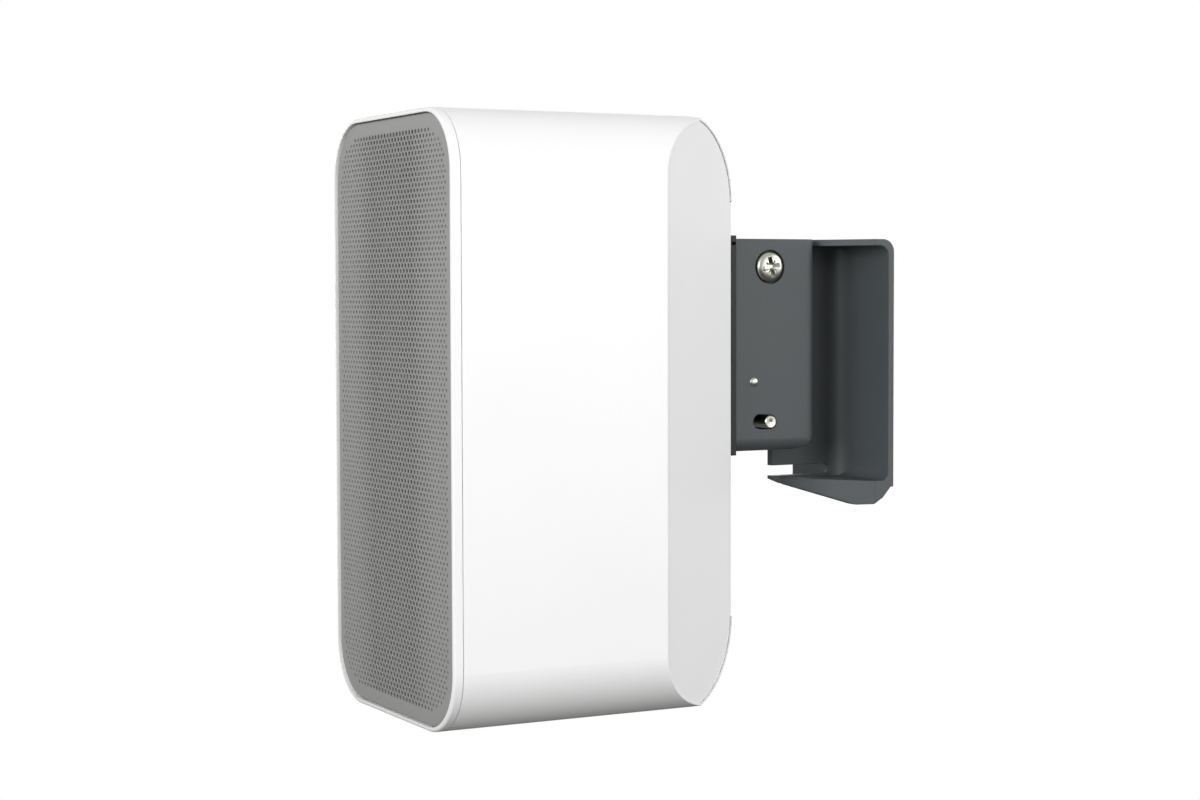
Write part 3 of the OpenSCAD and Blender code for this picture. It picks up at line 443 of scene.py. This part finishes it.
def grille_sheet():
    """Perforated steel pan: two triangulated faces, a wall in every hole, and a rolled edge."""
    points, kept, rings = perforated_face()
    front, rim = FRONT_Y + GRILLE_DROP, FRONT_Y + GRILLE_DEPTH
    verts = [(p.x, front, p.y) for p in points] + [(p.x, front + SHEET, p.y) for p in points]
    back = len(points)
    polygons = kept + [tuple(v + back for v in reversed(f)) for f in kept]
    for ring in rings[1:]:
        for a, b in zip(ring, ring[1:] + ring[:1]):
            polygons.append((a, b, b + back, a + back))
    # Insets and depths of the loops that run over the rolled edge, round the rim and back
    steps = [math.pi / 2 * i / PAN_STEPS for i in range(1, PAN_STEPS + 1)]
    inner = PAN_RADIUS - SHEET
    loops = [(GRILLE_INSET + PAN_RADIUS * (1 - math.sin(a)), front + PAN_RADIUS * (1 - math.cos(a)))
             for a in steps]
    loops += [(GRILLE_INSET, rim), (GRILLE_INSET + SHEET, rim)]
    loops += [(GRILLE_INSET + SHEET + inner * (1 - math.sin(a)),
               front + SHEET + inner * (1 - math.cos(a))) for a in reversed(steps)]
    border, last = rings[0], rings[0]
    chain = []
    for inset, y in loops:
        start = len(verts)
        verts += [(x, y, z) for x, z in pan_loop(inset)]
        chain.append(list(range(start, len(verts))))
    chain.append([v + back for v in border])
    for ring in chain:
        polygons += [(last[i - 1], ring[i - 1], ring[i], last[i]) for i in range(len(ring))]
        last = ring
    mesh = bpy.data.meshes.new("grille_sheet")
    mesh.from_pydata([Vector(v) * MM for v in verts], [], polygons)
    mesh.validate()
    bm = bmesh.new()
    bm.from_mesh(mesh)
    bpy.data.meshes.remove(mesh)
    piece("grille_sheet", bm, "grille_steel", "speaker", "grille")


# Fasteners, in millimetres, at the places that the CAD gives them

PIVOT_Y = -58.5
PIVOT_Z = 66.4
PIN_Z = -6.3
RIVET_Y = -67.3
RIVET_Z = 12.6
# Outer faces of the arm's cheeks, and floors of their dimples at the tilt screw
ARM_X = 25.0
DIMPLE_X = 23.0
WASHER = 1.2
NUT_CORNER = 5.75
NUT_BORE = 3.05
NUT_STEPS = 24
REAR_SCREW_X = 19
REAR_SCREW_Z = 89
REAR_SCREW_DROP = 2.1


def cross_recess(bm, place, reach, wing, depth):
    """A cutter for a crossed recess: two tapered wings that share a pointed middle."""
    for turn in (0, 90):
        spin = place @ about_z(turn)
        loft(bm, [[bm.verts.new(spin @ Vector((x * sx, y * sy, height)))
                   for sx, sy in ((1, 1), (-1, 1), (-1, -1), (1, -1))]
                  for height, x, y in ((1.0, reach / 2, wing / 2), (0.0, reach / 2, wing / 2),
                                       (-depth, reach / 5, wing / 3))])


def carve(solid, cutter):
    """The solid less the cutter, both given as bmeshes, as a new bmesh."""
    made = []
    for name, bm in (("carve_solid", solid), ("carve_cutter", cutter)):
        bmesh.ops.recalc_face_normals(bm, faces=bm.faces)
        mesh = bpy.data.meshes.new(name)
        bm.to_mesh(mesh)
        bm.free()
        made.append(bpy.data.objects.new(name, mesh))
        bpy.context.collection.objects.link(made[-1])
    change = made[0].modifiers.new("carve", "BOOLEAN")
    change.object, change.operation, change.solver = made[1], "DIFFERENCE", "EXACT"
    change.use_self = True
    bpy.context.view_layer.update()
    seen = made[0].evaluated_get(bpy.context.evaluated_depsgraph_get())
    result = bmesh.new()
    result.from_mesh(seen.to_mesh())
    seen.to_mesh_clear()
    for obj in made:
        mesh = obj.data
        bpy.data.objects.remove(obj)
        bpy.data.meshes.remove(mesh)
    return result


def pan_head(radius, height):
    """Half section of a pan head from its seat to the crown."""
    shares = ((0, 0), (0.97, 0), (1, 0.12), (1, 0.42), (0.96, 0.6), (0.87, 0.77), (0.72, 0.9),
              (0.45, 0.98), (0, 1))
    return [(radius * across, height * up) for across, up in shares]


def pivot_screw_detailed():
    """The tilt screw: a pan head with a crossed recess and four marks, and the shank to the nut."""
    solid, cutter = bmesh.new(), bmesh.new()
    place = along_x(DIMPLE_X, PIVOT_Y, PIVOT_Z)
    radius, height = 7.2, 3.6
    lathe(solid, pan_head(radius, height), 64, place)
    crown = place @ Matrix.Translation((0, 0, height)) @ about_z(12)
    cross_recess(cutter, crown, reach=10.4, wing=2.3, depth=2.6)
    cross_recess(cutter, crown @ about_z(45), reach=7.4, wing=0.9, depth=1.2)
    bm = carve(solid, cutter)
    lathe(bm, [(0, -54), (2.6, -54), (3, -53.6), (3, 0.4), (0, 0.4)], 48, place)
    piece("pivot_screw_detailed", bm, "zinc_steel", "speaker", "pivot_screw")


def arm_rivets_domed():
    """Two rivets, each with a low dome outside and a flat set head inside."""
    bm = bmesh.new()
    for side in (1, -1):
        place = along_x(side * ARM_X, RIVET_Y, RIVET_Z, side)
        lathe(bm, [(0, -4.6), (1.6, -4.6), (1.6, 0), (2.1, 0), (2.1, 0.15), (1.75, 0.5),
                   (1.1, 0.74), (0, 0.8)], 32, place)
        lathe(bm, [(0, -5.4), (1.9, -5.4), (2.1, -5.2), (2.1, -4.65), (0, -4.65)], 32, place)
    piece("arm_rivets_domed", bm, "zinc_steel", "speaker", "arm_rivets")


def limit_pin_detailed():
    """The limit pin with a chamfer and a shallow centre mark on each end."""
    bm = bmesh.new()
    half = [(0, 25.75), (0.5, 25.9), (0.9, 26), (2.6, 26), (3, 25.6)]
    profile = half + [(r, -x) for r, x in reversed(half)]
    lathe(bm, profile, 48, along_x(0, PIVOT_Y, PIN_Z))
    piece("limit_pin_detailed", bm, "zinc_steel", "wall_side", "limit_pin")


def rear_screws_detailed():
    """Four pan head screws with crossed recesses, each turned its own way, in the rear cover."""
    bm = bmesh.new()
    radius, height = 3, 1.5
    for sx in (1, -1):
        for sz in (1, -1):
            solid, cutter = bmesh.new(), bmesh.new()
            place = along_y(sx * REAR_SCREW_X, BACK_Y - REAR_SCREW_DROP, sz * REAR_SCREW_Z)
            lathe(solid, pan_head(radius, height), 32, place)
            turned = about_z(20 + 37 * sx + 61 * sz)
            crown = place @ Matrix.Translation((0, 0, height)) @ turned
            cross_recess(cutter, crown, reach=3.4, wing=0.7, depth=1.1)
            head = carve(solid, cutter)
            lathe(head, [(0, -14), (0.8, -13), (1.2, -12), (1.2, 0.3), (0, 0.3)], 24, place)
            mesh = bpy.data.meshes.new("rear_screw")
            head.to_mesh(mesh)
            head.free()
            bm.from_mesh(mesh)
            bpy.data.meshes.remove(mesh)
    piece("rear_screws_detailed", bm, "zinc_steel", "speaker", "rear_screws")


def pivot_nut_chamfered():
    """Hexagon nut whose corners are turned off at both ends, with a plain bore."""
    bm = bmesh.new()
    place = along_x(-DIMPLE_X - WASHER, PIVOT_Y, PIVOT_Z, -1) @ about_z(30)
    flat = NUT_CORNER * math.cos(math.radians(30))
    outer = []
    for height, corner in ((0, 5.2), (0.35, NUT_CORNER), (4.65, NUT_CORNER), (5, 5.2)):
        ring = []
        for i in range(NUT_STEPS):
            # Distance from the axis to the hexagon, at most the chamfer's cone
            reach = min(corner, flat / math.cos(math.radians(15 * (i % 4) - 30)))
            turn = math.radians(15 * i)
            ring.append(bm.verts.new(place @ Vector(
                (reach * math.cos(turn), reach * math.sin(turn), height))))
        outer.append(ring)
    bore = [turned_ring(bm, NUT_BORE, height, NUT_STEPS, place) for height in (0, 5)]
    loops = [bore[0], *outer, bore[1], bore[0]]
    for low, high in zip(loops, loops[1:]):
        bridge(bm, low, high)
    piece("pivot_nut_chamfered", bm, "zinc_steel", "speaker", "pivot_nut", sharp_degrees=20)


# Rear button and sockets, in millimetres

BUTTON_X = 19.5
BUTTON_Z = -64
BUTTON_SEAT = 5
SOCKET_Z = -54
NETWORK_X = -10
CONTACT_PITCH = 1.02
CONTACT_WIDE, CONTACT_THICK = 0.4, 0.2
AUDIO_X = 9
AUDIO_DROP = 0.5


def setup_button_domed():
    """Round key with a rolled edge, a shallow finger dish and its stop flange."""
    bm = bmesh.new()
    lathe(bm, [(0, 0), (4.2, 0), (4.2, 1.4), (3, 1.4), (3, 4.1), (2.9, 4.35), (2.65, 4.5),
               (2.3, 4.48), (1.2, 4.3), (0, 4.24)], 48,
          along_y(BUTTON_X, BACK_Y - BUTTON_SEAT, BUTTON_Z))
    piece("setup_button_domed", bm, "white_abs", "button", "setup_button")


def network_contacts():
    """Eight sprung contacts that rise towards the mouth of the network socket."""
    bm = bmesh.new()
    # Depth and height of a contact's bends, from the back plane and the socket's middle
    bends = [(-11.7, -3.9), (-10.5, -3.7), (-8, -2.6), (-5, -1.2), (-4.2, -1.1), (-3.8, -1.5)]
    half_x, half_z = CONTACT_WIDE / 2, CONTACT_THICK / 2
    for i in range(8):
        x = NETWORK_X + (i - 3.5) * CONTACT_PITCH
        loft(bm, [[bm.verts.new(Vector((x + dx, BACK_Y + y, SOCKET_Z + z + dz)) * MM)
                   for dx, dz in ((-half_x, -half_z), (half_x, -half_z), (half_x, half_z),
                                  (-half_x, half_z))] for y, z in bends])
    piece("network_contacts", bm, "brass_insert", "speaker")


def audio_collar():
    """Turned collar that lines the mouth of the audio socket."""
    bm = bmesh.new()
    profile = [(1.85, -3), (1.85, 0.1), (2.1, 0.3), (3, 0.3), (3.3, 0), (3.3, -0.2), (2.2, -0.2),
               (2.2, -3)]
    lathe(bm, profile, 40, along_y(AUDIO_X, BACK_Y - AUDIO_DROP, SOCKET_Z), closed=True)
    piece("audio_collar", bm, "zinc_steel", "speaker")


# Camera, lights and floor

CAMERA_PLACE = Vector((953.4, -639.2, 56.7)) * MM
CAMERA_LOOK = Vector((-0.88321, 0.46652, -0.04802)).normalized()
CAMERA_ROLL = math.radians(-0.153)
FOCAL_PIXELS = 2326.5
PICTURE_WIDTH = 1200
SENSOR_WIDTH = 36
FLOOR_Z = -0.9
FLOOR_HALF = 6
LIT_POINT = Vector((0.0, -0.15, 0.0))
ROOM_ABOVE = 0.26
ROOM_BELOW = 0.02
LAMP_DISTANCE = 2.3
# Azimuth and elevation in degrees, side in metres, and level of each softbox
SOFTBOXES = {
    "key_softbox": (36, 26, 1.1, 0.29),
    "low_softbox": (32, 8, 0.8, 0.55),
    "side_softbox": (114, 7, 1.0, 0.26),
    "back_softbox": (155, 15, 1.2, 0.55),
    "fill_softbox": (-25, 20, 1.4, 0.08),
    "left_softbox": (-112, 0, 1.2, 0.55),
}


def set_camera():
    """Pinhole camera fitted to the cabinet's outline in the picture."""
    data = bpy.data.cameras.new("camera")
    data.sensor_width = SENSOR_WIDTH
    data.lens = SENSOR_WIDTH * FOCAL_PIXELS / PICTURE_WIDTH
    data.clip_start, data.clip_end = 0.05, 50
    right = CAMERA_LOOK.cross(Vector((0, 0, 1))).normalized()
    up = right.cross(CAMERA_LOOK)
    across = right * math.cos(CAMERA_ROLL) + up * math.sin(CAMERA_ROLL)
    above = up * math.cos(CAMERA_ROLL) - right * math.sin(CAMERA_ROLL)
    camera = bpy.data.objects.new("camera", data)
    camera.matrix_world = Matrix.Translation(CAMERA_PLACE) @ Matrix(
        (across, above, -CAMERA_LOOK)).transposed().to_4x4()
    bpy.context.collection.objects.link(camera)
    bpy.context.scene.camera = camera


def softbox(name, azimuth, elevation, size, level):
    """A square softbox round the cabinet. Azimuth 0 is in front of the grille, 90 at the right.
    The level is how bright a white sheet that faces it at the cabinet becomes."""
    data = bpy.data.lights.new(name, "AREA")
    data.shape, data.size = "SQUARE", size
    data.energy = level * (math.pi * LAMP_DISTANCE) ** 2
    turn, rise = math.radians(azimuth), math.radians(elevation)
    way = Vector((math.sin(turn) * math.cos(rise), -math.cos(turn) * math.cos(rise),
                  math.sin(rise)))
    lamp = bpy.data.objects.new(name, data)
    lamp.matrix_world = Matrix.Translation(LIT_POINT + way * LAMP_DISTANCE) @ way.to_track_quat(
        "Z", "Y").to_matrix().to_4x4()
    bpy.context.collection.objects.link(lamp)


def set_light():
    """Softboxes in a dim surround that is paler above than below, and white where it is seen."""
    world = bpy.data.worlds.new("studio")
    bpy.context.scene.world = world
    world.use_nodes = True
    tree = world.node_tree
    tree.nodes.clear()
    ray = node(tree, "ShaderNodeLightPath").outputs
    seen = node(tree, "ShaderNodeMath", {0: ray["Is Camera Ray"], 1: ray["Is Glossy Ray"]},
                operation="MAXIMUM")
    shown = node(tree, "ShaderNodeMath", {0: seen.outputs["Value"],
                                          1: ray["Is Transmission Ray"]}, operation="MAXIMUM")
    sky = node(tree, "ShaderNodeTexCoord").outputs["Generated"]
    way = node(tree, "ShaderNodeSeparateXYZ", {"Vector": sky})
    height = node(tree, "ShaderNodeMapRange", {"Value": way.outputs["Z"],
                                               "From Min": -0.15, "From Max": 0.8,
                                               "To Min": ROOM_BELOW, "To Max": ROOM_ABOVE})
    dim = node(tree, "ShaderNodeBackground", {"Color": lin("#FFFFFF"),
                                              "Strength": height.outputs["Result"]})
    white = node(tree, "ShaderNodeBackground", {"Color": lin("#FFFFFF"), "Strength": 1.0})
    mixed = node(tree, "ShaderNodeMixShader", {0: shown.outputs["Value"],
                                               1: dim.outputs["Background"],
                                               2: white.outputs["Background"]})
    node(tree, "ShaderNodeOutputWorld", {"Surface": mixed.outputs["Shader"]})
    for name, settings in SOFTBOXES.items():
        softbox(name, *settings)


def set_floor():
    """Pale seamless floor, white to the camera, that still takes a soft shadow nearby."""
    bm = bmesh.new()
    corners = ((-1, -1), (1, -1), (1, 1), (-1, 1))
    bm.faces.new([bm.verts.new((x * FLOOR_HALF, y * FLOOR_HALF, FLOOR_Z)) for x, y in corners])
    floor = bpy.data.objects.new("floor", mesh_of(bm, "floor"))
    bpy.context.collection.objects.link(floor)
    material, tree, spot = begin("seamless paper")
    paper = node(tree, "ShaderNodeBsdfDiffuse", {"Color": lin("#6C6C6A")})
    glow = node(tree, "ShaderNodeEmission", {"Color": lin("#FFFFFF"), "Strength": 1.0})
    # The floor's own share fades out 1.5 m from the part, so that no horizon shows
    reach = node(tree, "ShaderNodeVectorMath", {0: spot}, operation="LENGTH")
    fade = node(tree, "ShaderNodeMapRange", {"Value": reach.outputs["Value"],
                                             "From Min": 0.3, "From Max": 1.5,
                                             "To Min": 0.94, "To Max": 1.0})
    ray = node(tree, "ShaderNodeLightPath").outputs
    share = node(tree, "ShaderNodeMath", {0: ray["Is Camera Ray"], 1: fade.outputs["Result"]},
                 operation="MULTIPLY")
    mixed = node(tree, "ShaderNodeMixShader", {0: share.outputs["Value"],
                                               1: paper.outputs["BSDF"],
                                               2: glow.outputs["Emission"]})
    node(tree, "ShaderNodeOutputMaterial", {"Surface": mixed.outputs["Shader"]})
    floor.data.materials.append(material)


set_camera()
dress_cad_nodes()
grille_sheet()
pivot_screw_detailed()
arm_rivets_domed()
limit_pin_detailed()
rear_screws_detailed()
pivot_nut_chamfered()
setup_button_domed()
network_contacts()
audio_collar()
set_light()
set_floor()
bpy.context.scene.view_settings.view_transform = "Standard"
